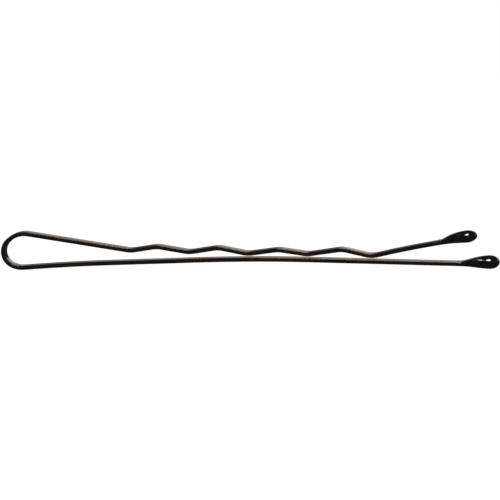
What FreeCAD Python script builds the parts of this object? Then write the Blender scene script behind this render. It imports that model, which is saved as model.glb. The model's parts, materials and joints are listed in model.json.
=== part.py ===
import FreeCAD, Part
import math
import os
import Sketcher

# A bobby pin: flat spring wire bent round into a bow, with a straight leg, a crimped leg and a resin drop on the
# end of each leg. Millimetres and degrees. +X runs from the bow to the tips, +Y lies across the wire and +Z is up.
# The pin stands with one leg over the other, and the origin is on the floor below the middle of its length.

VECTOR = FreeCAD.Vector

# Driving dimensions. A station or a reach is measured along X from the axis of the bow.
DIMENSIONS = {
    # the wire, a rolled flat with rounded edges
    "wire_width": 1.3,
    "wire_thickness": 0.55,
    "wire_edge_radius": 0.1,
    # the bow, to the middle of the wire: a round end that turns down and up from its middle, and two wider flanks
    "bow_end_radius": 1.93,
    "bow_lower_radius": 3.5,
    "bow_upper_radius": 3.3,
    "bow_lower_turn": 68.0,
    "bow_upper_turn": 44.0,
    # the straight leg rises from the bow, flattens, arches over and falls to its tip
    "straight_leg_rise": 4.2,
    "straight_leg_run_rise": 1.64,
    "straight_leg_fall": 1.53,
    "straight_leg_arch_radius": 262.0,
    "straight_leg_run": 11.17,
    "straight_leg_end_run": 23.08,
    # the crimped leg falls from the bow, waves along the straight leg and turns up to its tip
    "first_trough_reach": 15.02,
    "first_trough_gap": 1.0,
    "crimp_gap": 0.22,
    "crimp_pitch": 7.81,
    "crimp_depth": 0.55,
    "crimp_radius": 3.55,
    "tip_run_rise": 12.7,
    "tip_run_end_rise": 8.23,
    "tip_run_radius": 134.0,
    "tip_run_end": 1.1,
    # the resin drops: a neck that tapers on to the wire, and a rounded end
    "straight_tip_radius": 0.87,
    "straight_tip_neck": 3.77,
    "straight_tip_nose": 1.2,
    "crimped_tip_radius": 0.785,
    "crimped_tip_neck": 3.27,
    "crimped_tip_nose": 1.3,
    "crimped_tip_rise": 6.9,
    "crimped_tip_lift": 0.22,
    "neck_face_cover": 0.12,
    "neck_edge_cover": 0.16,
}

# Where each bend of the crimped leg lies, in pitches from the first trough; troughs and peaks take turns.
BEND_STATION_SHARES = (0.0, 0.43, 0.98, 1.45, 1.965, 2.45, 2.945, 3.49, 4.0)
# How each trough's gap to the straight leg goes from the crimps' own gap (0) to the first trough's gap (1).
TROUGH_GAP_SHARES = (1.0, 0.44, 0.0, 0.0, 0.0)
# Each peak's height above the mean of its two troughs, in crimp depths.
PEAK_DEPTH_SHARES = (0.97, 1.04, 0.85, 1.15)
# The neck's sections: how far along it they lie, and how far their tops and bottoms have grown from wire to drop.
NECK_STATION_SHARES = (0.0, 0.5, 0.8)
NECK_TOP_SHARES = {"straight_tip": (0.0, 0.69, 0.95), "crimped_tip": (0.0, 0.76, 0.96)}
NECK_BOTTOM_SHARES = {"straight_tip": (0.0, 0.49, 0.89), "crimped_tip": (0.0, 0.27, 0.79)}

BEND_COUNT = len(BEND_STATION_SHARES)
TROUGH = 1
PEAK = -1


def bend_side(index):
    """Which side of the wire a bend's centre lies on: above it in a trough, below it at a peak."""
    return TROUGH if index % 2 == 0 else PEAK


def bow_formulas():
    """The flanks' centres and their joints with the round end, from the bow's axis at the round end's centre."""
    return {
        "bow_lower_centre_x": "(bow_lower_radius - bow_end_radius) * cos(bow_lower_turn)",
        "bow_lower_centre_z": "(bow_lower_radius - bow_end_radius) * sin(bow_lower_turn)",
        "bow_lower_joint_x": "-bow_end_radius * cos(bow_lower_turn)",
        "bow_lower_joint_z": "-bow_end_radius * sin(bow_lower_turn)",
        "bow_upper_joint_x": "-bow_end_radius * cos(bow_upper_turn)",
        "bow_upper_joint_z": "bow_end_radius * sin(bow_upper_turn)",
        "bow_upper_centre_x": "(bow_upper_radius - bow_end_radius) * cos(bow_upper_turn)",
        "bow_upper_centre_z": "-(bow_upper_radius - bow_end_radius) * sin(bow_upper_turn)",
    }


def straight_leg_formulas():
    """The middle of the straight leg, as points from the bow's axis."""
    return {
        "straight_start_x": "bow_lower_centre_x + bow_lower_radius * sin(straight_leg_rise)",
        "straight_start_z": "bow_lower_centre_z - bow_lower_radius * cos(straight_leg_rise)",
        "straight_rise_centre_x": "straight_start_x + straight_leg_arch_radius * sin(straight_leg_rise)",
        "straight_rise_centre_z": "straight_start_z - straight_leg_arch_radius * cos(straight_leg_rise)",
        "straight_run_start_x": "straight_rise_centre_x - straight_leg_arch_radius * sin(straight_leg_run_rise)",
        "straight_run_start_z": "straight_rise_centre_z + straight_leg_arch_radius * cos(straight_leg_run_rise)",
        "straight_run_end_x": "straight_run_start_x + straight_leg_run * cos(straight_leg_run_rise)",
        "straight_run_end_z": "straight_run_start_z + straight_leg_run * sin(straight_leg_run_rise)",
        "straight_fall_centre_x": "straight_run_end_x + straight_leg_arch_radius * sin(straight_leg_run_rise)",
        "straight_fall_centre_z": "straight_run_end_z - straight_leg_arch_radius * cos(straight_leg_run_rise)",
        "straight_fall_start_x": "straight_fall_centre_x + straight_leg_arch_radius * sin(straight_leg_fall)",
        "straight_fall_start_z": "straight_fall_centre_z + straight_leg_arch_radius * cos(straight_leg_fall)",
        "straight_end_x": "straight_fall_start_x + straight_leg_end_run * cos(straight_leg_fall)",
        "straight_end_z": "straight_fall_start_z - straight_leg_end_run * sin(straight_leg_fall)",
    }


def straight_leg_height(station):
    """A formula for the height of the middle of the straight leg at a station, on its arcs or its runs."""
    first_arc = (f"straight_rise_centre_z + sqrt(straight_leg_arch_radius ^ 2 "
                 f"- ({station} - straight_rise_centre_x) ^ 2)")
    run = f"straight_run_start_z + ({station} - straight_run_start_x) * tan(straight_leg_run_rise)"
    second_arc = (f"straight_fall_centre_z + sqrt(straight_leg_arch_radius ^ 2 "
                  f"- ({station} - straight_fall_centre_x) ^ 2)")
    fall = f"straight_fall_start_z - ({station} - straight_fall_start_x) * tan(straight_leg_fall)"
    return (f"{station} < straight_run_start_x ? {first_arc} : ({station} < straight_run_end_x ? {run} : "
            f"({station} < straight_fall_start_x ? {second_arc} : {fall}))")


def crimped_leg_formulas():
    """The centres of the crimped leg's bends and the points that join it to the bow and its tip."""
    cells = {}
    for index, share in enumerate(BEND_STATION_SHARES):
        cells[f"bend_{index}_x"] = f"first_trough_reach + crimp_pitch * {share}"
    for index, share in enumerate(TROUGH_GAP_SHARES):
        bend = 2 * index
        cells[f"bend_{bend}_rest"] = straight_leg_height(f"bend_{bend}_x")
        cells[f"bend_{bend}_low"] = (f"bend_{bend}_rest + wire_thickness + crimp_gap "
                                     f"+ (first_trough_gap - crimp_gap) * {share}")
        cells[f"bend_{bend}_z"] = f"bend_{bend}_low + crimp_radius"
    for index, share in enumerate(PEAK_DEPTH_SHARES):
        bend = 2 * index + 1
        cells[f"bend_{bend}_z"] = (f"(bend_{bend - 1}_low + bend_{bend + 1}_low) / 2 + crimp_depth * {share} "
                                   f"- crimp_radius")
    # the first run is tangent to the bow's upper flank and to the first trough, which lie on its two sides
    cells["first_run_x"] = "bend_0_x - bow_upper_centre_x"
    cells["first_run_z"] = "bend_0_z - bow_upper_centre_z"
    cells["first_run_span"] = "bow_upper_radius + crimp_radius"
    cells["first_run_square"] = "first_run_x ^ 2 + first_run_z ^ 2"
    cells["first_run_length"] = "sqrt(first_run_square - first_run_span ^ 2)"
    cells["first_run_sine"] = "(first_run_span * first_run_x - first_run_length * first_run_z) / first_run_square"
    cells["first_run_cosine"] = "(first_run_length * first_run_x + first_run_span * first_run_z) / first_run_square"
    cells["crimped_start_x"] = "bow_upper_centre_x + bow_upper_radius * first_run_sine"
    cells["crimped_start_z"] = "bow_upper_centre_z + bow_upper_radius * first_run_cosine"
    # the tip run leaves the last trough, flattens on a long arc and ends straight inside the tip
    last = BEND_COUNT - 1
    cells["tip_run_centre_x"] = f"bend_{last}_x + (crimp_radius + tip_run_radius) * sin(tip_run_rise)"
    cells["tip_run_centre_z"] = f"bend_{last}_z - (crimp_radius + tip_run_radius) * cos(tip_run_rise)"
    cells["tip_stub_start_x"] = "tip_run_centre_x - tip_run_radius * sin(tip_run_end_rise)"
    cells["tip_stub_start_z"] = "tip_run_centre_z + tip_run_radius * cos(tip_run_end_rise)"
    cells["crimped_end_x"] = "tip_stub_start_x + tip_run_end * cos(tip_run_end_rise)"
    cells["crimped_end_z"] = "tip_stub_start_z + tip_run_end * sin(tip_run_end_rise)"
    return cells


def frame_formulas():
    """Where the bow's axis lies, so that the pin stands on the floor with its middle over the origin."""
    return {
        "axis_x": "(bow_end_radius + wire_thickness / 2 - straight_end_x - straight_tip_nose) / 2",
        "axis_z": "bow_lower_radius + wire_thickness / 2 - bow_lower_centre_z",
    }


def tip_formulas():
    """The drops: the straight leg's stands on the floor, and the crimped leg's is lifted off its wire's middle."""
    cells = {
        "neck_half_height": "wire_thickness / 2 + neck_face_cover",
        "neck_half_width": "wire_width / 2 + neck_edge_cover",
        "straight_tip_x": "axis_x + straight_end_x",
        "straight_tip_z": "straight_tip_radius",
        "straight_tip_lift": "straight_tip_z - axis_z - straight_end_z",
        "straight_tip_drop": "straight_tip_lift - straight_tip_neck * tan(straight_leg_fall)",
        "crimped_tip_x": "axis_x + crimped_end_x",
        "crimped_tip_z": "axis_z + crimped_end_z + crimped_tip_lift",
        "crimped_tip_drop": "crimped_tip_lift * cos(crimped_tip_rise) + (crimped_tip_neck "
                            "- crimped_tip_lift * sin(crimped_tip_rise)) * tan(tip_run_end_rise - crimped_tip_rise)",
    }
    for tip, top_shares in NECK_TOP_SHARES.items():
        cells[f"{tip}_neck_top"] = f"neck_half_height - {tip}_drop"
        cells[f"{tip}_neck_bottom"] = f"neck_half_height + {tip}_drop"
        shares = zip(NECK_STATION_SHARES, top_shares, NECK_BOTTOM_SHARES[tip])
        for index, (along, top, bottom) in enumerate(shares):
            section = f"{tip}_section_{index}"
            cells[f"{section}_station"] = f"-{tip}_neck * (1 - {along})"
            cells[f"{section}_top"] = f"{tip}_neck_top + ({tip}_radius - {tip}_neck_top) * {top}"
            cells[f"{section}_bottom"] = f"{tip}_neck_bottom + ({tip}_radius - {tip}_neck_bottom) * {bottom}"
            cells[f"{section}_width"] = (f"2 * neck_half_width + ({tip}_radius - neck_half_width) "
                                         f"* ({top} + {bottom})")
            cells[f"{section}_height"] = f"{section}_top + {section}_bottom"
            cells[f"{section}_centre"] = f"({section}_top - {section}_bottom) / 2"
    return cells


def make_sheet(document):
    """The spreadsheet of driving dimensions, followed by the places worked out from them."""
    sheet = document.addObject("Spreadsheet::Sheet", "Dimensions")
    rows = {name: str(value) for name, value in DIMENSIONS.items()}
    for formulas in (bow_formulas, straight_leg_formulas, crimped_leg_formulas, frame_formulas, tip_formulas):
        rows.update({name: f"={formula}" for name, formula in formulas().items()})
    for row, (name, content) in enumerate(rows.items(), start=1):
        sheet.set(f"A{row}", name)
        sheet.set(f"B{row}", content)
        sheet.setAlias(f"B{row}", name)
    document.recompute()
    return sheet


DOCUMENT = FreeCAD.newDocument("bobby_pin")
SHEET = make_sheet(DOCUMENT)


def size(name):
    """The present value of a cell."""
    return float(SHEET.get(name))


def point(name):
    """The present place of a named point, in a sketch on the plane of the legs."""
    return VECTOR(size(f"{name}_x"), size(f"{name}_z"), 0)


def bind(target, path, expression):
    """Ties a property to the sheet; cell names in the expression are written with a leading #."""
    target.setExpression(path, expression.replace("#", "Dimensions."))


def new_body(name):
    """A body whose place is the axis of the bow."""
    body = DOCUMENT.addObject("PartDesign::Body", name)
    body.Label = name
    bind(body, ".Placement.Base.x", "#axis_x")
    bind(body, ".Placement.Base.z", "#axis_z")
    return body


def origin_feature(body, role):
    """One of the body's own planes or axes."""
    return next(feature for feature in body.Origin.OriginFeatures if feature.Role == role)


def new_sketch(body, name, plane):
    """An empty sketch on one of the body's own planes."""
    sketch = body.newObject("Sketcher::SketchObject", name)
    sketch.AttachmentSupport = (origin_feature(body, plane), [""])
    sketch.MapMode = "FlatFace"
    return sketch


def constrain(sketch, name, expression, *constraint):
    """Adds a named dimension to a sketch and ties it to the sheet."""
    index = sketch.addConstraint(Sketcher.Constraint(*constraint))
    sketch.renameConstraint(index, name)
    bind(sketch, f"Constraints.{name}", expression)


def fix_point(sketch, name, geometry, position):
    """Holds a point of a sketch at the place that the sheet gives it."""
    place = point(name)
    constrain(sketch, f"{name}_x", f"#{name}_x", "DistanceX", -1, 1, geometry, position, place.x)
    constrain(sketch, f"{name}_z", f"#{name}_z", "DistanceY", -1, 1, geometry, position, place.y)


class WirePath:
    """A sketch of lines and arcs, each tangent to the one before it."""

    def __init__(self, body, name):
        self.sketch = new_sketch(body, name, "XZ_Plane")
        self.last = None

    def join(self, geometry, start, end):
        """Makes the new piece tangent to the end of the piece before it."""
        if self.last is not None:
            self.sketch.addConstraint(Sketcher.Constraint("Tangent", *self.last, geometry, start))
        self.last = (geometry, end)
        return geometry

    def line(self, start, end):
        return self.join(self.sketch.addGeometry(Part.LineSegment(start, end)), 1, 2)

    def arc(self, centre, start, end, side):
        """An arc that turns as a trough does, counter-clockwise, or as a peak does, clockwise."""
        circle = Part.Circle(centre, VECTOR(0, 0, 1), centre.distanceToPoint(start))
        first, second = (start, end) if side == TROUGH else (end, start)
        angles = [math.atan2(place.y - centre.y, place.x - centre.x) for place in (first, second)]
        geometry = self.sketch.addGeometry(Part.ArcOfCircle(circle, *angles))
        return self.join(geometry, 1, 2) if side == TROUGH else self.join(geometry, 2, 1)


def tangent_run(start_centre, start_offset, end_centre, end_offset):
    """The ends of the line that touches two circles; an offset is a radius, positive where the centre is above."""
    across = end_centre - start_centre
    offset = end_offset - start_offset
    length = math.sqrt(across.Length ** 2 - offset ** 2)
    heading = math.atan2(across.y, across.x) - math.atan2(offset, length)
    above = VECTOR(-math.sin(heading), math.cos(heading), 0)
    return start_centre - above * start_offset, end_centre - above * end_offset


def wire_section(body):
    """A sketch of the wire's rounded section, centred on the sketch's origin, with the width across the legs."""
    sketch = new_sketch(body, f"{body.Name}_section", "YZ_Plane")
    width = size("wire_width")
    thickness = size("wire_thickness")
    radius = size("wire_edge_radius")
    inner_x = width / 2 - radius
    inner_y = thickness / 2 - radius
    corners = [VECTOR(inner_x, inner_y), VECTOR(-inner_x, inner_y), VECTOR(-inner_x, -inner_y),
               VECTOR(inner_x, -inner_y)]
    outward = [VECTOR(radius, 0), VECTOR(0, radius), VECTOR(-radius, 0), VECTOR(0, -radius)]
    arcs = []
    lines = []
    for index, corner in enumerate(corners):
        circle = Part.Circle(corner, VECTOR(0, 0, 1), radius)
        start = index * math.pi / 2
        arcs.append(sketch.addGeometry(Part.ArcOfCircle(circle, start, start + math.pi / 2)))
        following = (index + 1) % len(corners)
        side = outward[following]
        lines.append(sketch.addGeometry(Part.LineSegment(corner + side, corners[following] + side)))
    for index, direction in enumerate(("Horizontal", "Vertical", "Horizontal", "Vertical")):
        following = arcs[(index + 1) % len(arcs)]
        sketch.addConstraint(Sketcher.Constraint("Tangent", arcs[index], 2, lines[index], 1))
        sketch.addConstraint(Sketcher.Constraint("Tangent", lines[index], 2, following, 1))
        sketch.addConstraint(Sketcher.Constraint(direction, lines[index]))
    for arc in arcs[1:]:
        sketch.addConstraint(Sketcher.Constraint("Equal", arcs[0], arc))
    sketch.addConstraint(Sketcher.Constraint("Symmetric", arcs[0], 3, arcs[2], 3, -1, 1))
    constrain(sketch, "edge_radius", "#wire_edge_radius", "Radius", arcs[0], radius)
    constrain(sketch, "width", "#wire_width", "DistanceX", lines[1], 1, lines[3], 1, width)
    constrain(sketch, "thickness", "#wire_thickness", "DistanceY", lines[2], 1, lines[0], 1, thickness)
    return sketch


def sweep_wire(body, path, start, turn, tilt_axis):
    """Sweeps the wire's section along a path, from a start point where the path slopes by the given turn."""
    section = wire_section(body)
    section.AttachmentOffset = FreeCAD.Placement(VECTOR(), FreeCAD.Rotation(tilt_axis, 1))
    bind(section, "AttachmentOffset.Base.y", f"#{start}_z")
    bind(section, "AttachmentOffset.Base.z", f"#{start}_x")
    bind(section, "AttachmentOffset.Rotation.Angle", turn)
    DOCUMENT.recompute()
    pipe = body.newObject("PartDesign::AdditivePipe", f"{body.Name}_sweep")
    pipe.Profile = section
    pipe.Spine = (path.sketch, [])
    return body


def straight_leg():
    """The plain leg: two long arcs, each followed by a straight run."""
    body = new_body("straight_leg")
    path = WirePath(body, "straight_leg_path")
    rise = path.arc(point("straight_rise_centre"), point("straight_start"), point("straight_run_start"), PEAK)
    path.line(point("straight_run_start"), point("straight_run_end"))
    fall = path.arc(point("straight_fall_centre"), point("straight_run_end"), point("straight_fall_start"), PEAK)
    end = path.line(point("straight_fall_start"), point("straight_end"))
    fix_point(path.sketch, "straight_start", rise, 2)
    fix_point(path.sketch, "straight_rise_centre", rise, 3)
    fix_point(path.sketch, "straight_fall_centre", fall, 3)
    path.sketch.addConstraint(Sketcher.Constraint("Equal", rise, fall))
    fix_point(path.sketch, "straight_end", end, 2)
    return sweep_wire(body, path, "straight_start", "#straight_leg_rise", VECTOR(-1, 0, 0))


def crimped_leg():
    """The waved leg: straight runs between equal bends, then the long arc up to the tip."""
    body = new_body("crimped_leg")
    path = WirePath(body, "crimped_leg_path")
    radius = size("crimp_radius")
    centres = [point(f"bend_{index}") for index in range(BEND_COUNT)]
    offsets = [bend_side(index) * radius for index in range(BEND_COUNT)]
    before = [point("bow_upper_centre")] + centres[:-1]
    offsets_before = [PEAK * size("bow_upper_radius")] + offsets[:-1]
    runs = [tangent_run(*ends) for ends in zip(before, offsets_before, centres, offsets)]
    last_bend_end = centres[-1] + (point("tip_run_centre") - centres[-1]).normalize() * radius
    bends = []
    for index, run in enumerate(runs):
        line = path.line(*run)
        if index == 0:
            fix_point(path.sketch, "crimped_start", line, 1)
        bend_end = runs[index + 1][0] if index + 1 < BEND_COUNT else last_bend_end
        bends.append(path.arc(centres[index], run[1], bend_end, bend_side(index)))
        fix_point(path.sketch, f"bend_{index}", bends[index], 3)
    constrain(path.sketch, "crimp_radius", "#crimp_radius", "Radius", bends[0], radius)
    for bend in bends[1:]:
        path.sketch.addConstraint(Sketcher.Constraint("Equal", bends[0], bend))
    tip_run = path.arc(point("tip_run_centre"), last_bend_end, point("tip_stub_start"), PEAK)
    fix_point(path.sketch, "tip_run_centre", tip_run, 3)
    stub = path.line(point("tip_stub_start"), point("crimped_end"))
    fix_point(path.sketch, "crimped_end", stub, 2)
    return sweep_wire(body, path, "crimped_start", "asin(#first_run_sine)", VECTOR(1, 0, 0))


def spring_bow():
    """The closed end: an upper flank, a round end and a lower flank, from the crimped leg to the straight leg."""
    body = new_body("spring_bow")
    path = WirePath(body, "spring_bow_path")
    upper = path.arc(point("bow_upper_centre"), point("crimped_start"), point("bow_upper_joint"), TROUGH)
    end = path.arc(VECTOR(), point("bow_upper_joint"), point("bow_lower_joint"), TROUGH)
    lower = path.arc(point("bow_lower_centre"), point("bow_lower_joint"), point("straight_start"), TROUGH)
    fix_point(path.sketch, "crimped_start", upper, 1)
    fix_point(path.sketch, "bow_upper_centre", upper, 3)
    path.sketch.addConstraint(Sketcher.Constraint("Coincident", end, 3, -1, 1))
    fix_point(path.sketch, "bow_lower_centre", lower, 3)
    constrain(path.sketch, "bow_end", "#straight_start_x", "DistanceX", -1, 1, lower, 2, size("straight_start_x"))
    return sweep_wire(body, path, "crimped_start", "asin(#first_run_sine)", VECTOR(1, 0, 0))


def oval(body, section):
    """One of the neck's sections: an oval across the drop's axis, round the wire at the neck's start."""
    sketch = new_sketch(body, section, "YZ_Plane")
    bind(sketch, "AttachmentOffset.Base.z", f"#{section}_station")
    width = size(f"{section}_width")
    height = size(f"{section}_height")
    centre = size(f"{section}_centre")
    shape = sketch.addGeometry(Part.Ellipse(VECTOR(0, centre), width / 2, height / 2))
    sketch.exposeInternalGeometry(shape)
    wide, tall = shape + 1, shape + 2
    sketch.addConstraint(Sketcher.Constraint("Horizontal", wide))
    sketch.addConstraint(Sketcher.Constraint("PointOnObject", shape, 3, -2))
    constrain(sketch, "centre", f"#{section}_centre", "DistanceY", -1, 1, shape, 3, centre)
    constrain(sketch, "width", f"#{section}_width", "Distance", wide, width)
    constrain(sketch, "height", f"#{section}_height", "Distance", tall, height)
    return sketch


def nose_outline(body, tip):
    """Half of the rounded end's outline: a quarter of an ellipse from the drop's widest place to its axis."""
    sketch = new_sketch(body, f"{tip}_nose_outline", "XZ_Plane")
    length = size(f"{tip}_nose")
    radius = size(f"{tip}_radius")
    curve = sketch.addGeometry(Part.ArcOfEllipse(Part.Ellipse(VECTOR(), length, radius), 0, math.pi / 2))
    base = sketch.addGeometry(Part.LineSegment(VECTOR(0, radius), VECTOR()))
    axis = sketch.addGeometry(Part.LineSegment(VECTOR(), VECTOR(length, 0)))
    sketch.addConstraint(Sketcher.Constraint("Coincident", curve, 2, base, 1))
    sketch.addConstraint(Sketcher.Constraint("Coincident", base, 2, axis, 1))
    sketch.addConstraint(Sketcher.Constraint("Coincident", axis, 2, curve, 1))
    sketch.addConstraint(Sketcher.Constraint("Coincident", curve, 3, -1, 1))
    sketch.addConstraint(Sketcher.Constraint("Coincident", base, 2, -1, 1))
    sketch.addConstraint(Sketcher.Constraint("Vertical", base))
    sketch.addConstraint(Sketcher.Constraint("Horizontal", axis))
    constrain(sketch, "radius", f"#{tip}_radius", "Distance", base, radius)
    constrain(sketch, "length", f"#{tip}_nose", "Distance", axis, length)
    return sketch


def drop(tip, rise):
    """A resin drop before the wire's end is let into it; its own X axis runs out through its nose."""
    body = DOCUMENT.addObject("PartDesign::Body", f"{tip}_drop")
    bind(body, ".Placement.Base.x", f"#{tip}_x")
    bind(body, ".Placement.Base.z", f"#{tip}_z")
    if rise:
        body.Placement.Rotation = FreeCAD.Rotation(VECTOR(0, -1, 0), 1)
        bind(body, ".Placement.Rotation.Angle", rise)
    sections = [oval(body, f"{tip}_section_{index}") for index in range(len(NECK_STATION_SHARES))]
    widest = new_sketch(body, f"{tip}_widest", "YZ_Plane")
    radius = size(f"{tip}_radius")
    circle = widest.addGeometry(Part.Circle(VECTOR(), VECTOR(0, 0, 1), radius))
    widest.addConstraint(Sketcher.Constraint("Coincident", circle, 3, -1, 1))
    constrain(widest, "radius", f"#{tip}_radius", "Radius", circle, radius)
    DOCUMENT.recompute()
    neck = body.newObject("PartDesign::AdditiveLoft", f"{tip}_neck_loft")
    neck.Profile = sections[0]
    neck.Sections = sections[1:] + [widest]
    nose = body.newObject("PartDesign::Revolution", f"{tip}_nose_turn")
    nose.Profile = nose_outline(body, tip)
    nose.ReferenceAxis = (origin_feature(body, "X_Axis"), [""])
    return body


def tip_on_leg(name, tip, leg, rise=None):
    """A resin drop with the end of its leg let into it."""
    cut = DOCUMENT.addObject("Part::Cut", name)
    cut.Label = name
    cut.Base = drop(tip, rise)
    cut.Tool = leg
    return cut


def main():
    straight = straight_leg()
    crimped = crimped_leg()
    pieces = [
        straight,
        spring_bow(),
        crimped,
        tip_on_leg("straight_leg_tip", "straight_tip", straight),
        tip_on_leg("crimped_leg_tip", "crimped_tip", crimped, "#crimped_tip_rise"),
    ]
    DOCUMENT.recompute()
    failed = [item.Label for item in DOCUMENT.Objects if {"Invalid", "Error"} & set(item.State)]
    failed += [piece.Label for piece in pieces if piece.Shape.isNull() or not piece.Shape.isValid()]
    failed += [piece.Label for piece in pieces if len(piece.Shape.Solids) != 1]
    if failed:
        raise RuntimeError(f"these did not build: {failed}")
    os.makedirs("parts", exist_ok=True)
    for piece in pieces:
        piece.Shape.exportStep(f"parts/{piece.Label}.step")
        box = piece.Shape.BoundBox
        print(f"{piece.Label}: {piece.Shape.Volume:.3f} mm3, X {box.XMin:.3f} to {box.XMax:.3f}, "
              f"Y {box.YMin:.3f} to {box.YMax:.3f}, Z {box.ZMin:.3f} to {box.ZMax:.3f}")


main()
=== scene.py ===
import json
import math

import bpy
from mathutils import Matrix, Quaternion, Vector


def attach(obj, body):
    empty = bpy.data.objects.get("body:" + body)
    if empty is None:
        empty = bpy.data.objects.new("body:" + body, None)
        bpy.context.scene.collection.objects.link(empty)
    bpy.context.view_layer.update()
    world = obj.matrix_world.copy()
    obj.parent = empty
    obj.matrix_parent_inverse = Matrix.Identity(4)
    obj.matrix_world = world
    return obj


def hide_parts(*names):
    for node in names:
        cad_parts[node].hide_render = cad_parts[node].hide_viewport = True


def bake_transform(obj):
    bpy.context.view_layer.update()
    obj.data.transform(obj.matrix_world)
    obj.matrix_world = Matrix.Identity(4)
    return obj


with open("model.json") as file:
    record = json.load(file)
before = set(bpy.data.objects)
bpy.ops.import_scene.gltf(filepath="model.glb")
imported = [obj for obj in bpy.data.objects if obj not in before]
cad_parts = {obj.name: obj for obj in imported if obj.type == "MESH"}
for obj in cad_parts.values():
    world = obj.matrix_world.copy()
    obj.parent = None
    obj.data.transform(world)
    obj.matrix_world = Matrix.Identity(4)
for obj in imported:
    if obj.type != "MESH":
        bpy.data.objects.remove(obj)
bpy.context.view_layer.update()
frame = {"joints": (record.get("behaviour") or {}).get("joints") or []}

# A bobby pin of lacquered flat wire with resin drops on its ends. Shapes are worked out in millimetres in
# the plane of the legs, as X and height from the axis of the bow, and become metres in the frame when a mesh
# is made.

MM = 0.001
BOW_AXIS = Vector(frame["joints"][0]["pos_m"])
STRAIGHT_SIDE = "straight_side"
CRIMPED_SIDE = "crimped_side"
WIRE_SLOT = "lacquered_wire"
RESIN_SLOT = "tip_resin"

# the wire, a rolled flat with rounded edges and slightly crowned faces
WIRE_WIDTH = 1.3
WIRE_THICKNESS = 0.55
WIRE_EDGE_RADIUS = 0.1
FACE_CROWN = 0.006

# the bow, to the middle of the wire: a round end, turned down and up from its middle, and two wider flanks
BOW_END_RADIUS = 1.93
BOW_LOWER_RADIUS = 3.5
BOW_UPPER_RADIUS = 3.3
BOW_LOWER_TURN = 68.0
BOW_UPPER_TURN = 44.0

# the straight leg
STRAIGHT_LEG_RISE = 4.2
STRAIGHT_LEG_RUN_RISE = 1.64
STRAIGHT_LEG_FALL = 1.53
STRAIGHT_LEG_ARCH_RADIUS = 262.0
STRAIGHT_LEG_RUN = 11.17
STRAIGHT_LEG_END_RUN = 23.08

# the crimped leg: troughs and peaks take turns, and the shares are in pitches, gaps and depths
FIRST_TROUGH_REACH = 15.02
FIRST_TROUGH_GAP = 1.0
CRIMP_GAP = 0.22
CRIMP_PITCH = 7.81
CRIMP_DEPTH = 0.55
CRIMP_RADIUS = 3.55
BEND_STATION_SHARES = (0.0, 0.43, 0.98, 1.45, 1.965, 2.45, 2.945, 3.49, 4.0)
TROUGH_GAP_SHARES = (1.0, 0.44, 0.0, 0.0, 0.0)
PEAK_DEPTH_SHARES = (0.97, 1.04, 0.85, 1.15)
TIP_RUN_RISE = 12.7
TIP_RUN_END_RISE = 8.23
TIP_RUN_RADIUS = 134.0
TIP_RUN_END = 1.1

# the resin drops; top, bottom and plan say how fast a neck grows: below 1 early, above 1 late
STRAIGHT_TIP = {"radius": 0.87, "neck": 3.77, "nose": 1.2, "rise": 0.0, "top": 0.76, "bottom": 1.02}
CRIMPED_TIP = {"radius": 0.785, "neck": 3.27, "nose": 1.3, "rise": 6.9, "top": 0.55, "bottom": 1.55}
CRIMPED_TIP_LIFT = 0.22
PLAN_GROWTH = 1.6
NECK_COVER = 0.03
# the film of resin before each neck, and the waves of its edge: how often they go round, phase and share
FILM_COVER = 0.012
FILM_LENGTH = 0.5
FILM_WAVE = 0.12
FILM_WAVES = ((2, 0.6, 1.0), (5, 0.0, 0.5))
# the drops' sections: 2 is an ellipse, and more is nearer to the wire's flat section; a neck is round after
# this share of its length
FILM_SQUARENESS = 7.0
NECK_SQUARENESS = 5.0
BALL_SQUARENESS = 2.0
NECK_ROUND_SHARE = 0.85

# how finely the meshes are cut
LINE_STEP = 0.4
ARC_STEP = math.radians(1.2)
CORNER_CUTS = 6
FACE_CUTS = 6
RING_POINTS = 56
FILM_RINGS = 10
NECK_RINGS = 28
NOSE_RINGS = 18
NOSE_TURN = math.radians(88.5)
DOME_COLUMNS = 120
DOME_ROWS = 30

# the lacquer: colours, then scales of the noises per metre and the parts of their range that are used
LACQUER_BLACK = (0.0028, 0.0024, 0.0028, 1)
LACQUER_BROWN = (0.0062, 0.0044, 0.0036, 1)
WORN_COLOUR = (0.03, 0.018, 0.011, 1)
NICK_COLOUR = (0.2, 0.18, 0.16, 1)
LACQUER_TINT = (1.0, 0.78, 0.62, 1)
LACQUER_IOR = 1.34
LACQUER_ROUGHNESS = (0.07, 0.11)
WORN_ROUGHNESS = 0.08
WORN_SHARE = 0.5
LACQUER_CLOUD_SCALE = 420.0
LACQUER_PEEL_SCALE = 3000.0
LACQUER_BUMP = 0.000004
WEAR_SCALE = 900.0
WEAR_DETAIL = 4.0
WEAR_BREAKUP = 0.65
WEAR_RANGE = (0.55, 0.72)
NICK_SCALE = 1500.0
NICK_RANGE = (0.76, 0.79)
ROLLING_STRETCH = (0.35, 60.0, 1.0)
ROLLING_DETAIL = 4.0

# the resin, in the same way
RESIN_BLACK = (0.0014, 0.0014, 0.0018, 1)
RESIN_CLOUD = (0.0034, 0.0029, 0.003, 1)
DUST_COLOUR = (0.05, 0.045, 0.045, 1)
RESIN_IOR = 1.45
RESIN_ROUGHNESS = (0.05, 0.09)
RESIN_CLOUD_SCALE = 900.0
RESIN_PEEL_SCALE = 2600.0
RESIN_BUMP = 0.000006
DUST_SCALE = 7000.0
DUST_RANGE = (0.72, 0.76)
DUST_SHARE = 0.3

# both materials
CLOUD_DETAIL = 3.0
PEEL_DETAIL = 2.0
SPECK_DETAIL = 1.0
CLOUD_RANGE = (0.35, 0.65)
GRAIN_RANGE = (0.3, 0.7)
BUMP_STRENGTH = 0.08

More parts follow.
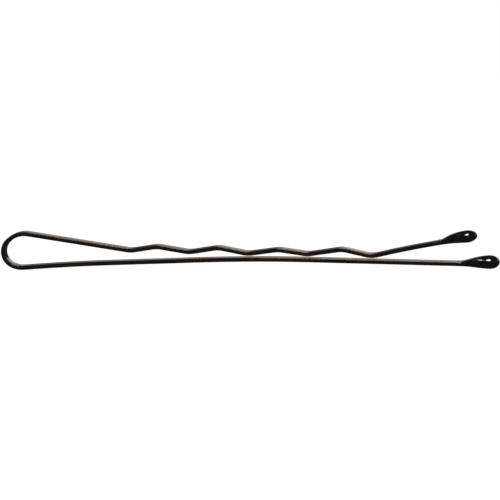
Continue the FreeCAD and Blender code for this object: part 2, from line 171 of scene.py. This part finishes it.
# the camera: metres and degrees, with azimuths counted from the front towards +X
CAMERA_AZIMUTH = 12.0
CAMERA_ELEVATION = 8.775
CAMERA_ROLL = -1.971
CAMERA_DISTANCE = 0.5
CAMERA_TARGET = Vector((0.000336, 0.0, 0.00246))
CAMERA_NEAR = 0.01
FOCAL_PIXELS = 3931.0
FRAME_PIXELS = 500
SENSOR_WIDTH = 36.0

# the studio, in the same units: a white floor, and a room that only shows in reflections
WHITE = (1.0, 1.0, 1.0, 1)
AMBIENT = 0.62
FLOOR_SIZE = 8.0
FLOOR_COLOUR = (0.82, 0.82, 0.82, 1)
FLOOR_WHITE = 1.03
FLOOR_WHITE_SHARE = 0.93
DOME_RADIUS = 1.6
ROOM_COLOUR = (0.09, 0.055, 0.038, 1)
WALL_COLOUR = (0.84, 0.76, 0.68, 1)
BRIGHT_WALL_COLOUR = (1.6, 1.58, 1.56, 1)
# elevations between which the wall fades in and out, and azimuths between which it brightens
WALL_FOOT = (7.8, 9.6)
WALL_TOP = (32.0, 38.0)
BRIGHT_WALL_EDGE = (189.0, 180.0)
TABLE_COLOUR = (0.05, 0.07, 0.11, 1)
TABLE_HEIGHT = 0.00001
KEY_AZIMUTH = -4.0
KEY_ELEVATION = 40.0
KEY_DISTANCE = 0.5
KEY_WIDTH = 0.157
KEY_HEIGHT = 0.26
KEY_POWER = 3.3


def compass(turn):
    """A step of one to the right, turned left by an angle."""
    return Vector((math.cos(turn), math.sin(turn)))


def mix(first, second, share):
    """A value part of the way from one to another."""
    return first + (second - first) * share


def smooth(share):
    """Eases from 0 to 1."""
    share = min(max(share, 0.0), 1.0)
    return share * share * (3 - 2 * share)


def in_frame(x, across, height):
    """A place given from the bow's axis, in the frame's metres."""
    return BOW_AXIS + MM * Vector((x, across, height))


class WirePath:
    """The middle of the wire, as points with their headings, walked from the bow towards a tip."""

    def __init__(self, start, heading):
        self.samples = [(start, heading)]

    def line(self, length):
        """Goes straight on."""
        start, heading = self.samples[-1]
        cuts = max(1, math.ceil(length / LINE_STEP))
        self.samples += [(start + compass(heading) * length * cut / cuts, heading)
                         for cut in range(1, cuts + 1)]

    def arc(self, radius, end_heading):
        """Turns on to a new heading, to the left where that is higher."""
        start, heading = self.samples[-1]
        turn = end_heading - heading
        side = math.copysign(radius, turn)
        centre = start + side * compass(heading + math.pi / 2)
        cuts = max(2, math.ceil(abs(turn) / ARC_STEP), math.ceil(abs(turn) * radius / LINE_STEP))
        for cut in range(1, cuts + 1):
            angle = heading + turn * cut / cuts
            self.samples.append((centre - side * compass(angle + math.pi / 2), angle))

    def height(self, station):
        """The height of the wire's middle at an X station."""
        for (before, _), (after, _) in zip(self.samples, self.samples[1:]):
            if before.x <= station <= after.x:
                return mix(before.y, after.y, (station - before.x) / (after.x - before.x))
        raise ValueError(f"the wire does not reach station {station}")


def bow_lower_centre():
    """The centre of the bow's lower flank."""
    return (BOW_LOWER_RADIUS - BOW_END_RADIUS) * compass(math.radians(BOW_LOWER_TURN))


def bow_upper_centre():
    """The centre of the bow's upper flank."""
    return (BOW_UPPER_RADIUS - BOW_END_RADIUS) * compass(-math.radians(BOW_UPPER_TURN))


def straight_leg_path():
    """A wide arch with a straight run in its middle, and a straight end that falls to the tip."""
    rise = math.radians(STRAIGHT_LEG_RISE)
    path = WirePath(bow_lower_centre() - BOW_LOWER_RADIUS * compass(rise + math.pi / 2), rise)
    path.arc(STRAIGHT_LEG_ARCH_RADIUS, math.radians(STRAIGHT_LEG_RUN_RISE))
    path.line(STRAIGHT_LEG_RUN)
    path.arc(STRAIGHT_LEG_ARCH_RADIUS, -math.radians(STRAIGHT_LEG_FALL))
    path.line(STRAIGHT_LEG_END_RUN)
    return path


def bend_centres(straight):
    """The centres of the crimped leg's bends: troughs lie over the straight leg, and peaks between them."""
    stations = [FIRST_TROUGH_REACH + CRIMP_PITCH * share for share in BEND_STATION_SHARES]
    lows = [straight.height(station) + WIRE_THICKNESS + mix(CRIMP_GAP, FIRST_TROUGH_GAP, share)
            for station, share in zip(stations[::2], TROUGH_GAP_SHARES)]
    highs = [(low + next_low) / 2 + CRIMP_DEPTH * share
             for low, next_low, share in zip(lows, lows[1:], PEAK_DEPTH_SHARES)]
    heights = [0.0] * len(stations)
    heights[::2] = [low + CRIMP_RADIUS for low in lows]
    heights[1::2] = [high - CRIMP_RADIUS for high in highs]
    return [Vector(place) for place in zip(stations, heights)]


def crimped_leg_path(straight):
    """Straight runs that touch the bow and each bend in turn, then the long arc up to the tip."""
    centres = [bow_upper_centre()] + bend_centres(straight)
    offsets = [-BOW_UPPER_RADIUS]
    offsets += [CRIMP_RADIUS * (-1) ** index for index in range(len(BEND_STATION_SHARES))]
    runs = []
    for index in range(len(BEND_STATION_SHARES)):
        across = centres[index + 1] - centres[index]
        offset = offsets[index + 1] - offsets[index]
        length = math.sqrt(across.length_squared - offset ** 2)
        runs.append((math.atan2(across.y, across.x) - math.atan2(offset, length), length))
    first_heading = runs[0][0]
    start = bow_upper_centre() + BOW_UPPER_RADIUS * compass(first_heading + math.pi / 2)
    path = WirePath(start, first_heading)
    for index, (_, length) in enumerate(runs):
        path.line(length)
        following = runs[index + 1][0] if index + 1 < len(runs) else math.radians(TIP_RUN_RISE)
        path.arc(CRIMP_RADIUS, following)
    path.arc(TIP_RUN_RADIUS, math.radians(TIP_RUN_END_RISE))
    path.line(TIP_RUN_END)
    return path


def bow_path(straight, crimped):
    """The bow, from the start of the straight leg round to the start of the crimped leg."""
    start, heading = straight.samples[0]
    path = WirePath(start, heading + math.pi)
    path.arc(BOW_LOWER_RADIUS, math.pi / 2 + math.radians(BOW_LOWER_TURN))
    path.arc(BOW_END_RADIUS, math.pi / 2 - math.radians(BOW_UPPER_TURN))
    path.arc(BOW_UPPER_RADIUS, crimped.samples[0][1])
    return path


def wire_section():
    """Points round the wire's section: place through the thickness, place across the width, and roundness."""
    half_thickness = WIRE_THICKNESS / 2 - WIRE_EDGE_RADIUS
    half_width = WIRE_WIDTH / 2 - WIRE_EDGE_RADIUS
    corners = [(half_thickness, half_width), (half_thickness, -half_width),
               (-half_thickness, -half_width), (-half_thickness, half_width)]
    points = []
    for index, (thick, wide) in enumerate(corners):
        for cut in range(CORNER_CUTS + 1):
            share = cut / CORNER_CUTS
            angle = (index + share) * math.pi / 2
            points.append((thick + WIRE_EDGE_RADIUS * math.sin(angle),
                           wide + WIRE_EDGE_RADIUS * math.cos(angle), math.sin(math.pi * share)))
        next_thick, next_wide = corners[(index + 1) % len(corners)]
        out_angle = (index + 1) * math.pi / 2
        for cut in range(1, FACE_CUTS):
            share = cut / FACE_CUTS
            reach = WIRE_EDGE_RADIUS + FACE_CROWN * math.sin(math.pi * share)
            points.append((mix(thick, next_thick, share) + reach * math.sin(out_angle),
                           mix(wide, next_wide, share) + reach * math.cos(out_angle), 0.0))
    return points


def skin(name, rings, coordinates, roundness=None):
    """A closed mesh through rings of points, with a flat cap on each end and a UV map in millimetres."""
    count = len(rings[0])
    vertices = [place for ring in rings for place in ring]
    faces = []
    for row in range(len(rings) - 1):
        for index in range(count):
            following = (index + 1) % count
            faces.append((row * count + index, row * count + following,
                          (row + 1) * count + following, (row + 1) * count + index))
    walls = len(faces)
    last = (len(rings) - 1) * count
    faces.append(tuple(range(count - 1, -1, -1)))
    faces.append(tuple(range(last, last + count)))
    mesh = bpy.data.meshes.new(name)
    mesh.from_pydata(vertices, [], faces)
    mesh.update()
    mesh.polygons.foreach_set("use_smooth", [index < walls for index in range(len(faces))])
    # sharp edges round the caps, so that the shading runs on unbroken where two pieces meet
    for edge in mesh.edges:
        edge.use_edge_sharp = max(edge.vertices) < count or min(edge.vertices) >= last
    uv_map = mesh.uv_layers.new(name="surface")
    for polygon in mesh.polygons[:walls]:
        row, index = divmod(polygon.index, count)
        corners = ((row, index), (row, index + 1), (row + 1, index + 1), (row + 1, index))
        for loop, (ring, step) in zip(polygon.loop_indices, corners):
            uv_map.data[loop].uv = (coordinates[ring], step / count)
    if roundness:
        attribute = mesh.attributes.new("edge", "FLOAT", "POINT")
        attribute.data.foreach_set("value", [value for _ in rings for value in roundness])
    obj = bpy.data.objects.new(name, mesh)
    bpy.context.scene.collection.objects.link(obj)
    return obj


def sweep(name, path):
    """Wire along a path."""
    section = wire_section()
    rings = []
    lengths = []
    length = 0.0
    previous = path.samples[0][0]
    for place, heading in path.samples:
        up = compass(heading + math.pi / 2)
        length += (place - previous).length
        lengths.append(length)
        previous = place
        rings.append([in_frame(place.x + thick * up.x, wide, place.y + thick * up.y)
                      for thick, wide, _ in section])
    return skin(name, rings, lengths, [edge for _, _, edge in section])


def rounded_oval(half_width, half_height, squareness, angle):
    """A point of an oval that goes from an ellipse (2) towards a rectangle (above 2)."""
    power = 2 / squareness
    across = math.copysign(abs(math.cos(angle)) ** power, math.cos(angle)) * half_width
    height = math.copysign(abs(math.sin(angle)) ** power, math.sin(angle)) * half_height
    return across, height


def resin_drop(name, centre, drop, tip):
    """A drop that starts as a thin film on the wire, swells along its neck and ends in a rounded nose."""
    rise = math.radians(tip["rise"])
    along = compass(rise)
    up = compass(rise + math.pi / 2)
    radius = tip["radius"]
    angles = [2 * math.pi * index / RING_POINTS for index in range(RING_POINTS)]
    rings = []
    stations = []

    def add_ring(station, half_width, half_height, squareness, middle=0.0, wave=0.0):
        ring = []
        for angle in angles:
            across, height = rounded_oval(half_width, half_height, squareness, angle)
            waves = sum(share * math.sin(count * angle + phase) for count, phase, share in FILM_WAVES)
            place = centre + along * (station + wave * waves) + up * (middle + height)
            ring.append(in_frame(place.x, across, place.y))
        rings.append(ring)
        stations.append(station)

    for index in range(FILM_RINGS):
        share = index / FILM_RINGS
        cover = mix(FILM_COVER, NECK_COVER, smooth(share))
        squareness = mix(FILM_SQUARENESS, NECK_SQUARENESS, smooth(share))
        add_ring(-tip["neck"] - FILM_LENGTH * (1 - share), WIRE_WIDTH / 2 + cover,
                 WIRE_THICKNESS / 2 + cover, squareness, -drop, FILM_WAVE * (1 - share))
    neck_width = WIRE_WIDTH / 2 + NECK_COVER
    neck_height = WIRE_THICKNESS / 2 + NECK_COVER
    for index in range(NECK_RINGS):
        share = index / NECK_RINGS
        top = mix(neck_height - drop, radius, smooth(share ** tip["top"]))
        bottom = mix(neck_height + drop, radius, smooth(share ** tip["bottom"]))
        width = mix(neck_width, radius, smooth(share ** PLAN_GROWTH))
        squareness = mix(NECK_SQUARENESS, BALL_SQUARENESS, smooth(share / NECK_ROUND_SHARE))
        add_ring(-tip["neck"] * (1 - share), width, (top + bottom) / 2, squareness, (top - bottom) / 2)
    for index in range(NOSE_RINGS):
        angle = NOSE_TURN * index / (NOSE_RINGS - 1)
        reach = radius * math.cos(angle)
        add_ring(tip["nose"] * math.sin(angle), reach, reach, BALL_SQUARENESS)
    return skin(name, rings, stations)


def straight_leg_tip(path):
    """The straight leg's drop stands on the floor."""
    end, heading = path.samples[-1]
    centre = Vector((end.x, STRAIGHT_TIP["radius"] - BOW_AXIS.z / MM))
    drop = centre.y - end.y + STRAIGHT_TIP["neck"] * math.tan(heading)
    return resin_drop("straight_tip_drop", centre, drop, STRAIGHT_TIP)


def crimped_leg_tip(path):
    """The crimped leg's drop points a little lower than its wire."""
    end, heading = path.samples[-1]
    rise = math.radians(CRIMPED_TIP["rise"])
    centre = end + Vector((0.0, CRIMPED_TIP_LIFT))
    back = CRIMPED_TIP["neck"] - CRIMPED_TIP_LIFT * math.sin(rise)
    drop = CRIMPED_TIP_LIFT * math.cos(rise) + back * math.tan(heading - rise)
    return resin_drop("crimped_tip_drop", centre, drop, CRIMPED_TIP)


class Nodes:
    """A short way to build a node tree."""

    # the colour sockets of a mix node, which share their names with its other sockets
    FIRST_COLOUR = 6
    SECOND_COLOUR = 7
    MIXED_COLOUR = 2

    def __init__(self, owner):
        owner.use_nodes = True
        self.tree = owner.node_tree
        self.tree.nodes.clear()

    def set(self, socket, value):
        """Links a socket to another one, or gives it a constant."""
        if isinstance(value, bpy.types.NodeSocket):
            self.tree.links.new(value, socket)
        else:
            socket.default_value = value

    def add(self, kind, inputs=None, **settings):
        """A node with its settings, and its inputs by name or number."""
        node = self.tree.nodes.new(kind)
        for name, value in settings.items():
            setattr(node, name, value)
        for name, value in (inputs or {}).items():
            self.set(node.inputs[name], value)
        return node

    def math(self, operation, first, second):
        return self.add("ShaderNodeMath", {0: first, 1: second}, operation=operation).outputs[0]

    def noise(self, vector, scale, detail, roughness=0.5):
        inputs = {"Vector": vector, "Scale": scale, "Detail": detail, "Roughness": roughness}
        return self.add("ShaderNodeTexNoise", inputs).outputs["Fac"]

    def remap(self, value, low, high, to_low=0.0, to_high=1.0):
        inputs = {"Value": value, "From Min": low, "From Max": high, "To Min": to_low, "To Max": to_high}
        return self.add("ShaderNodeMapRange", inputs).outputs["Result"]

    def mix_colour(self, share, first, second):
        inputs = {"Factor": share, self.FIRST_COLOUR: first, self.SECOND_COLOUR: second}
        return self.add("ShaderNodeMix", inputs, data_type="RGBA").outputs[self.MIXED_COLOUR]

    def bump(self, height, distance, **under):
        inputs = {"Strength": BUMP_STRENGTH, "Distance": distance, "Height": height, **under}
        return self.add("ShaderNodeBump", inputs).outputs["Normal"]


def lacquered_wire():
    """Brown-black lacquer over rolled steel: faint rolling lines, thin brown edges, a few bright nicks."""
    material = bpy.data.materials.new(WIRE_SLOT)
    nodes = Nodes(material)
    place = nodes.add("ShaderNodeTexCoord").outputs["Object"]
    uv = nodes.add("ShaderNodeUVMap", uv_map="surface").outputs["UV"]
    lines = nodes.add("ShaderNodeMapping", {"Vector": uv, "Scale": ROLLING_STRETCH}).outputs["Vector"]
    edge = nodes.add("ShaderNodeAttribute", attribute_name="edge").outputs["Fac"]
    cloud = nodes.noise(place, LACQUER_CLOUD_SCALE, CLOUD_DETAIL)
    peel = nodes.noise(place, LACQUER_PEEL_SCALE, PEEL_DETAIL)
    rolling = nodes.noise(lines, 1.0, ROLLING_DETAIL)
    nick = nodes.remap(nodes.noise(place, NICK_SCALE, SPECK_DETAIL), *NICK_RANGE)
    rubbed = nodes.remap(nodes.noise(place, WEAR_SCALE, WEAR_DETAIL, WEAR_BREAKUP), *WEAR_RANGE)
    wear = nodes.math("MULTIPLY", edge, rubbed)
    colour = nodes.mix_colour(nodes.remap(cloud, *CLOUD_RANGE), LACQUER_BLACK, LACQUER_BROWN)
    colour = nodes.mix_colour(nodes.math("MULTIPLY", wear, WORN_SHARE), colour, WORN_COLOUR)
    colour = nodes.mix_colour(nodes.math("MULTIPLY", nick, edge), colour, NICK_COLOUR)
    roughness = nodes.math("ADD", nodes.remap(rolling, *GRAIN_RANGE, *LACQUER_ROUGHNESS),
                           nodes.math("MULTIPLY", wear, WORN_ROUGHNESS))
    bump = nodes.bump(rolling, LACQUER_BUMP, Normal=nodes.bump(peel, LACQUER_BUMP))
    shader = nodes.add("ShaderNodeBsdfPrincipled",
                       {"Base Color": colour, "Roughness": roughness, "IOR": LACQUER_IOR,
                        "Specular Tint": LACQUER_TINT, "Normal": bump})
    nodes.add("ShaderNodeOutputMaterial", {"Surface": shader.outputs["BSDF"]})
    return material


def tip_resin():
    """Glossy black resin with a faint clouding and the dust that sets in it."""
    material = bpy.data.materials.new(RESIN_SLOT)
    nodes = Nodes(material)
    place = nodes.add("ShaderNodeTexCoord").outputs["Object"]
    cloud = nodes.noise(place, RESIN_CLOUD_SCALE, CLOUD_DETAIL)
    peel = nodes.noise(place, RESIN_PEEL_SCALE, PEEL_DETAIL)
    dust = nodes.remap(nodes.noise(place, DUST_SCALE, SPECK_DETAIL), *DUST_RANGE)
    colour = nodes.mix_colour(nodes.remap(cloud, *CLOUD_RANGE), RESIN_BLACK, RESIN_CLOUD)
    colour = nodes.mix_colour(nodes.math("MULTIPLY", dust, DUST_SHARE), colour, DUST_COLOUR)
    roughness = nodes.remap(cloud, *GRAIN_RANGE, *RESIN_ROUGHNESS)
    shader = nodes.add("ShaderNodeBsdfPrincipled",
                       {"Base Color": colour, "Roughness": roughness, "IOR": RESIN_IOR,
                        "Normal": nodes.bump(peel, RESIN_BUMP)})
    nodes.add("ShaderNodeOutputMaterial", {"Surface": shader.outputs["BSDF"]})
    return material


def finish_piece(obj, material, node):
    """Gives a piece its material, and hides the CAD part of the node that it stands for."""
    obj.data.materials.append(material)
    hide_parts(node)
    return obj


def build_pin():
    """The legs and tips ride on their bodies, and the bow stays fixed in the frame between the two."""
    wire = lacquered_wire()
    resin = tip_resin()
    straight = straight_leg_path()
    crimped = crimped_leg_path(straight)
    rigid = [
        (sweep("straight_wire", straight), wire, WIRE_SLOT, "straight_leg", STRAIGHT_SIDE),
        (sweep("crimped_wire", crimped), wire, WIRE_SLOT, "crimped_leg", CRIMPED_SIDE),
        (straight_leg_tip(straight), resin, RESIN_SLOT, "straight_leg_tip", STRAIGHT_SIDE),
        (crimped_leg_tip(crimped), resin, RESIN_SLOT, "crimped_leg_tip", CRIMPED_SIDE),
    ]
    for obj, material, slot, node, body in rigid:
        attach(finish_piece(obj, material, node), body)
    bow = finish_piece(sweep("bow_wire", bow_path(straight, crimped)), wire, "spring_bow")
    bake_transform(bow)


def direction(azimuth, elevation):
    """Towards a place round the object: azimuth 0 is in front of it and 90 on its +X side."""
    turn, lift = math.radians(azimuth), math.radians(elevation)
    return Vector((math.sin(turn) * math.cos(lift), -math.cos(turn) * math.cos(lift), math.sin(lift)))


def seen_directly(nodes):
    """1 for the rays that show the background: from the camera, in reflections and through clear things."""
    path = nodes.add("ShaderNodeLightPath").outputs
    seen = nodes.math("MAXIMUM", path["Is Camera Ray"], path["Is Glossy Ray"])
    return nodes.math("MAXIMUM", seen, path["Is Transmission Ray"])


def white_world():
    """White to look at and in reflections, and an even soft light on everything else."""
    world = bpy.data.worlds.new("studio")
    nodes = Nodes(world)
    room = nodes.add("ShaderNodeBackground", {"Color": WHITE, "Strength": AMBIENT})
    white = nodes.add("ShaderNodeBackground", {"Color": WHITE, "Strength": 1.0})
    seen = seen_directly(nodes)
    mixed = nodes.add("ShaderNodeMixShader", {0: seen, 1: room.outputs[0], 2: white.outputs[0]})
    nodes.add("ShaderNodeOutputWorld", {"Surface": mixed.outputs[0]})
    bpy.context.scene.world = world


def square(half, height):
    """The corners of a level square."""
    return [(-half, -half, height), (half, -half, height), (half, half, height), (-half, half, height)]


def white_floor():
    """A white floor that keeps a faint part of the object's shadow."""
    mesh = bpy.data.meshes.new("floor")
    mesh.from_pydata(square(FLOOR_SIZE / 2, 0.0), [], [(0, 1, 2, 3)])
    floor = bpy.data.objects.new("floor", mesh)
    bpy.context.scene.collection.objects.link(floor)
    material = bpy.data.materials.new("floor")
    nodes = Nodes(material)
    card = nodes.add("ShaderNodeBsdfDiffuse", {"Color": FLOOR_COLOUR})
    white = nodes.add("ShaderNodeEmission", {"Color": WHITE, "Strength": FLOOR_WHITE})
    share = nodes.math("MULTIPLY", seen_directly(nodes), FLOOR_WHITE_SHARE)
    mixed = nodes.add("ShaderNodeMixShader", {0: share, 1: card.outputs[0], 2: white.outputs[0]})
    nodes.add("ShaderNodeOutputMaterial", {"Surface": mixed.outputs[0]})
    mesh.materials.append(material)


def reflected_only(name, vertices, faces, paint):
    """A glowing surface that shows in reflections and nowhere else."""
    mesh = bpy.data.meshes.new(name)
    mesh.from_pydata(vertices, [], faces)
    material = bpy.data.materials.new(name)
    nodes = Nodes(material)
    glow = nodes.add("ShaderNodeEmission", {"Color": paint(nodes), "Strength": 1.0})
    nodes.add("ShaderNodeOutputMaterial", {"Surface": glow.outputs[0]})
    mesh.materials.append(material)
    obj = bpy.data.objects.new(name, mesh)
    bpy.context.scene.collection.objects.link(obj)
    obj.visible_camera = False
    obj.visible_diffuse = False
    obj.visible_transmission = False
    obj.visible_shadow = False


def on_dome(angles):
    """Heights on the dome at some elevations, or places along X on its rim at some azimuths."""
    return [DOME_RADIUS * math.sin(math.radians(angle)) for angle in angles]


def dome_paint(nodes):
    """A dim room and, behind the object, a light wall that is brighter on the right."""
    place = nodes.add("ShaderNodeTexCoord").outputs["Object"]
    x, y, z = nodes.add("ShaderNodeSeparateXYZ", {"Vector": place}).outputs
    above_foot = nodes.remap(z, *on_dome(WALL_FOOT))
    below_top = nodes.remap(z, *on_dome(WALL_TOP), 1.0, 0.0)
    behind = nodes.math("GREATER_THAN", y, 0.0)
    lit = nodes.math("MULTIPLY", nodes.math("MULTIPLY", above_foot, below_top), behind)
    wall = nodes.mix_colour(nodes.remap(x, *on_dome(BRIGHT_WALL_EDGE)), WALL_COLOUR, BRIGHT_WALL_COLOUR)
    return nodes.mix_colour(lit, ROOM_COLOUR, wall)


def studio_dome():
    """The room, as a half sphere over the table."""
    vertices = [DOME_RADIUS * direction(360 * column / DOME_COLUMNS, 90 * row / DOME_ROWS)
                for row in range(DOME_ROWS + 1) for column in range(DOME_COLUMNS)]
    faces = []
    for start in range(0, DOME_ROWS * DOME_COLUMNS, DOME_COLUMNS):
        for column in range(DOME_COLUMNS):
            here, following = start + column, start + (column + 1) % DOME_COLUMNS
            faces.append((here, following, following + DOME_COLUMNS, here + DOME_COLUMNS))
    reflected_only("dome", vertices, faces, dome_paint)


def dark_table():
    """What the reflections show in place of the white floor."""
    reflected_only("table", square(DOME_RADIUS, TABLE_HEIGHT), [(0, 1, 2, 3)], lambda nodes: TABLE_COLOUR)


def key_lamp():
    """The one lamp, a soft oval in front of the object."""
    lamp = bpy.data.lights.new("key", "AREA")
    lamp.shape = "ELLIPSE"
    lamp.size = KEY_WIDTH
    lamp.size_y = KEY_HEIGHT
    lamp.energy = KEY_POWER
    obj = bpy.data.objects.new("key", lamp)
    away = direction(KEY_AZIMUTH, KEY_ELEVATION)
    obj.location = away * KEY_DISTANCE
    obj.rotation_mode = "QUATERNION"
    obj.rotation_quaternion = away.to_track_quat("Z", "Y")
    bpy.context.scene.collection.objects.link(obj)


def photo_camera():
    """A long lens that looks along the pin a little, from the side of its tips."""
    camera = bpy.data.objects.new("camera", bpy.data.cameras.new("camera"))
    away = direction(CAMERA_AZIMUTH, CAMERA_ELEVATION)
    camera.location = CAMERA_TARGET + away * CAMERA_DISTANCE
    camera.rotation_mode = "QUATERNION"
    roll = Quaternion((0.0, 0.0, 1.0), math.radians(CAMERA_ROLL))
    camera.rotation_quaternion = (-away).to_track_quat("-Z", "Y") @ roll
    camera.data.sensor_width = SENSOR_WIDTH
    camera.data.lens = FOCAL_PIXELS * SENSOR_WIDTH / FRAME_PIXELS
    camera.data.clip_start = CAMERA_NEAR
    camera.data.clip_end = 2 * FLOOR_SIZE
    bpy.context.scene.collection.objects.link(camera)
    bpy.context.scene.camera = camera


build_pin()
white_world()
white_floor()
studio_dome()
dark_table()
key_lamp()
photo_camera()
bpy.context.scene.view_settings.view_transform = "Standard"
